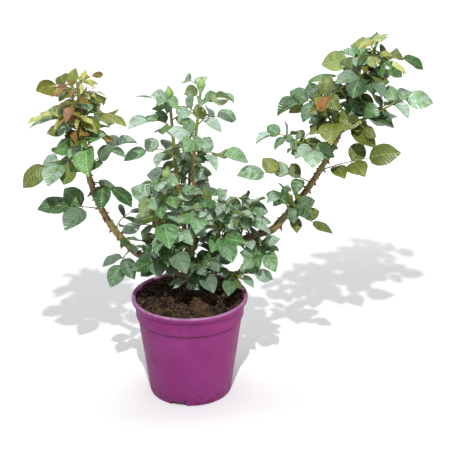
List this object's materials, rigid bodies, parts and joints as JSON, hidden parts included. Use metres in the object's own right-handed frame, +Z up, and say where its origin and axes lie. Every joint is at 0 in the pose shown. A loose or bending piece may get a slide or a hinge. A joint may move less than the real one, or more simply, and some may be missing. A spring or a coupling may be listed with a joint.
{
  "type": "potted rose bush",
  "caption": "Young rose bush in a tapered plastic nursery pot: a short main stem, a long prickly cane arching out to either side, upright shoots with buds, and toothed pinnate leaves.",
  "frame": {"origin": "on the ground, at the middle of the flat underside of the pot", "axes": "+Z up, +X towards the taller cane, and -Y towards the side that the picture shows"},
  "size_m": [0.6252, 0.2732, 0.5907],
  "materials": {
    "pot": "satin moulded plastic, magenta purple",
    "soil": "moist dark brown compost with fibres and bark chips",
    "bark": "green to orange brown rose bark, smooth, with reddish prickles",
    "foliage": "semi-gloss rose leaves, dark green above and olive below"
  },
  "bodies": {
    "root": {"pot": "pot", "soil": "soil", "main_stem": "bark", "left_cane_foot": "bark", "left_cane": "bark", "right_cane_foot": "bark", "right_cane": "bark", "front_shoot": "bark", "left_shoot": "bark", "middle_shoot": "bark", "low_twig": "bark", "back_shoot": "bark", "left_crown": "foliage", "left_outer_leaf": "foliage", "left_mid_leaf": "foliage", "left_inner_leaf": "foliage", "left_crown_side": "foliage", "left_cane_leaf": "foliage", "left_low_leaf": "foliage", "front_shoot_top": "foliage", "front_side_leaves": "foliage", "front_low_leaves": "foliage", "left_shoot_top": "foliage", "left_shoot_leaves": "foliage", "middle_shoot_top": "foliage", "middle_right_leaves": "foliage", "right_middle_leaves": "foliage", "middle_shoot_leaves": "foliage", "middle_low_leaves": "foliage", "low_front_leaf": "foliage", "low_right_leaves": "foliage", "right_hanging_leaves": "foliage", "right_low_outer_leaf": "foliage", "right_cane_leaves": "foliage", "right_inner_leaf": "foliage", "right_outer_leaf": "foliage", "right_side_shoot": "foliage", "right_crown_left": "foliage", "right_crown_right": "foliage", "right_crown": "foliage", "back_leaves": "foliage", "back_right_leaves": "foliage", "back_left_leaves": "foliage", "right_crown_back": "foliage"}
  },
  "joints": []
}
